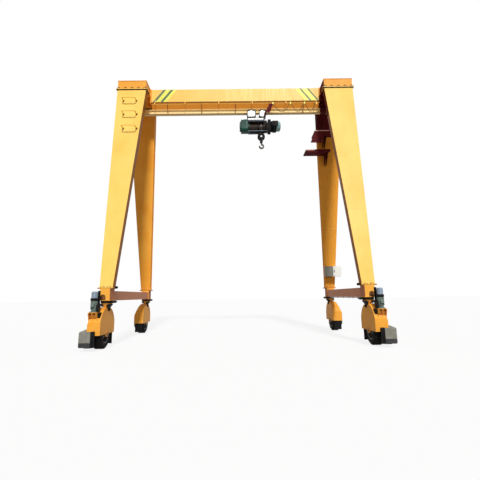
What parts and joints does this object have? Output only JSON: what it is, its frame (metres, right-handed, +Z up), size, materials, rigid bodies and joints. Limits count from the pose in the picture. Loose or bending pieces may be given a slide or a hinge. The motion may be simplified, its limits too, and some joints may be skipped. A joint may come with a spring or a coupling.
{
  "type": "rubber tyred gantry crane",
  "caption": "Gantry crane on steered rubber-tyred wheel units: a box girder on A-shaped leg pairs, with an underslung rope hoist trolley, hook and control cabinet.",
  "frame": {"origin": "on the ground under the middle of the machine, between the four kingpins", "axes": "+X along the girder to the end with the control cabinet, +Y along the travel direction away from the driven wheel units, +Z up"},
  "size_m": [10.318, 6.118, 11.035],
  "materials": {
    "black_steel": "greasy black painted steel",
    "cabinet_paint": "satin off-white powder coat",
    "cable_rubber": "matt black cable sheath",
    "crane_paint": "semi-gloss orange-yellow machine enamel",
    "drum_steel": "dark oiled iron",
    "galvanised": "dull galvanised steel",
    "gear_case_grey": "satin light grey enamel",
    "hook_steel": "dark forged steel",
    "motor_paint": "satin grey-green enamel",
    "red_oxide_paint": "matt dark red primer",
    "rim_steel": "satin grey painted wheel steel",
    "rope_steel": "greased steel wire rope",
    "trolley_paint": "satin light grey enamel",
    "tyre": "matt black tyre rubber",
    "wheel_steel": "turned steel with a polished tread"
  },
  "bodies": {
    "frame": {"main_girder": "crane_paint", "track_beam": "crane_paint", "track_flange": "crane_paint", "track_stops": "crane_paint", "cable_clamp": "crane_paint", "girder_ribs": "crane_paint", "saddle_left": "crane_paint", "saddle_right": "crane_paint", "sill_left": "crane_paint", "sill_right": "crane_paint", "leg_steps": "crane_paint", "platform_upper": "red_oxide_paint", "platform_lower": "red_oxide_paint", "platform_panel": "red_oxide_paint", "junction_box": "gear_case_grey", "control_cabinet": "cabinet_paint", "cable_conduit": "galvanised", "festoon_rail": "crane_paint", "leg_front_left": "crane_paint", "leg_front_right": "crane_paint", "leg_rear_left": "crane_paint", "leg_rear_right": "crane_paint", "slew_drive_front_left": "black_steel", "slew_drive_front_right": "black_steel", "slew_drive_rear_left": "black_steel", "slew_drive_rear_right": "black_steel"},
    "unit_front_left": {"fork_front_left": "crane_paint", "drive_motor_front_left": "motor_paint", "gear_case_front_left": "gear_case_grey"},
    "wheel_front_left": {"tyre_front_left": "tyre", "rim_front_left": "rim_steel"},
    "unit_front_right": {"fork_front_right": "crane_paint", "drive_motor_front_right": "motor_paint", "gear_case_front_right": "gear_case_grey"},
    "wheel_front_right": {"tyre_front_right": "tyre", "rim_front_right": "rim_steel"},
    "unit_rear_left": {"fork_rear_left": "crane_paint"},
    "wheel_rear_left": {"tyre_rear_left": "tyre", "rim_rear_left": "rim_steel"},
    "unit_rear_right": {"fork_rear_right": "crane_paint"},
    "wheel_rear_right": {"tyre_rear_right": "tyre", "rim_rear_right": "rim_steel"},
    "trolley": {"trolley_frame": "trolley_paint", "hoist_frame": "trolley_paint", "hoist_gearbox": "motor_paint", "hoist_motor": "motor_paint", "tow_arm": "red_oxide_paint", "rope_falls": "rope_steel", "rope_lead": "rope_steel", "festoon_cable": "cable_rubber"},
    "trolley_wheel_front_left": {"trolley_wheel_front_left": "wheel_steel"},
    "trolley_wheel_front_right": {"trolley_wheel_front_right": "wheel_steel"},
    "trolley_wheel_rear_left": {"trolley_wheel_rear_left": "wheel_steel"},
    "trolley_wheel_rear_right": {"trolley_wheel_rear_right": "wheel_steel"},
    "drum": {"hoist_drum": "drum_steel"},
    "hook_block": {"hook_block": "black_steel", "hook_sheave": "black_steel"},
    "hook": {"hook": "hook_steel"},
    "door": {"cabinet_door": "cabinet_paint"}
  },
  "joints": [
    {"name": "steer_front_left", "type": "hinge", "parent": "frame", "child": "unit_front_left", "pos_m": [-4.5, -2.4, 1.506], "axis": [0, 0, 1], "range_deg": [-90, 90]},
    {"name": "steer_front_right", "type": "hinge", "parent": "frame", "child": "unit_front_right", "pos_m": [4.5, -2.4, 1.506], "axis": [0, 0, 1], "range_deg": [-90, 90]},
    {"name": "steer_rear_left", "type": "hinge", "parent": "frame", "child": "unit_rear_left", "pos_m": [-4.5, 2.4, 1.506], "axis": [0, 0, 1], "range_deg": [-90, 90]},
    {"name": "steer_rear_right", "type": "hinge", "parent": "frame", "child": "unit_rear_right", "pos_m": [4.5, 2.4, 1.506], "axis": [0, 0, 1], "range_deg": [-90, 90]},
    {"name": "roll_front_left", "type": "hinge", "parent": "unit_front_left", "child": "wheel_front_left", "pos_m": [-4.641, -2.4, 0.47], "axis": [1, 0, 0], "continuous": true},
    {"name": "roll_front_right", "type": "hinge", "parent": "unit_front_right", "child": "wheel_front_right", "pos_m": [4.641, -2.4, 0.47], "axis": [1, 0, 0], "continuous": true},
    {"name": "roll_rear_left", "type": "hinge", "parent": "unit_rear_left", "child": "wheel_rear_left", "pos_m": [-4.641, 2.4, 0.47], "axis": [1, 0, 0], "continuous": true},
    {"name": "roll_rear_right", "type": "hinge", "parent": "unit_rear_right", "child": "wheel_rear_right", "pos_m": [4.641, 2.4, 0.47], "axis": [1, 0, 0], "continuous": true},
    {"name": "trolley_travel", "type": "slide", "parent": "frame", "child": "trolley", "axis": [1, 0, 0], "range_m": [-3.5, 1.2], "deforming": ["festoon_cable"]},
    {"name": "roll_trolley_front_left", "type": "hinge", "parent": "trolley", "child": "trolley_wheel_front_left", "pos_m": [0.724, -0.07, 10.0034], "axis": [0, 1, 0], "continuous": true},
    {"name": "roll_trolley_front_right", "type": "hinge", "parent": "trolley", "child": "trolley_wheel_front_right", "pos_m": [1.226, -0.07, 10.0034], "axis": [0, 1, 0], "continuous": true},
    {"name": "roll_trolley_rear_left", "type": "hinge", "parent": "trolley", "child": "trolley_wheel_rear_left", "pos_m": [0.724, 0.07, 10.0034], "axis": [0, 1, 0], "continuous": true},
    {"name": "roll_trolley_rear_right", "type": "hinge", "parent": "trolley", "child": "trolley_wheel_rear_right", "pos_m": [1.226, 0.07, 10.0034], "axis": [0, 1, 0], "continuous": true},
    {"name": "drum_spin", "type": "hinge", "parent": "trolley", "child": "drum", "pos_m": [0.9235, 0, 9.225], "axis": [1, 0, 0], "continuous": true},
    {"name": "hook_travel", "type": "slide", "parent": "trolley", "child": "hook_block", "axis": [0, 0, -1], "range_m": [-0.05, 7.85], "deforming": ["rope_falls"]},
    {"name": "hook_swivel", "type": "hinge", "parent": "hook_block", "child": "hook", "pos_m": [1.148, 0, 8.548], "axis": [0, 0, 1], "continuous": true},
    {"name": "door_hinge", "type": "hinge", "parent": "frame", "child": "door", "pos_m": [4.9405, 1.78103, 2.7885], "axis": [0, 0, 1], "range_deg": [0, 110]}
  ]
}
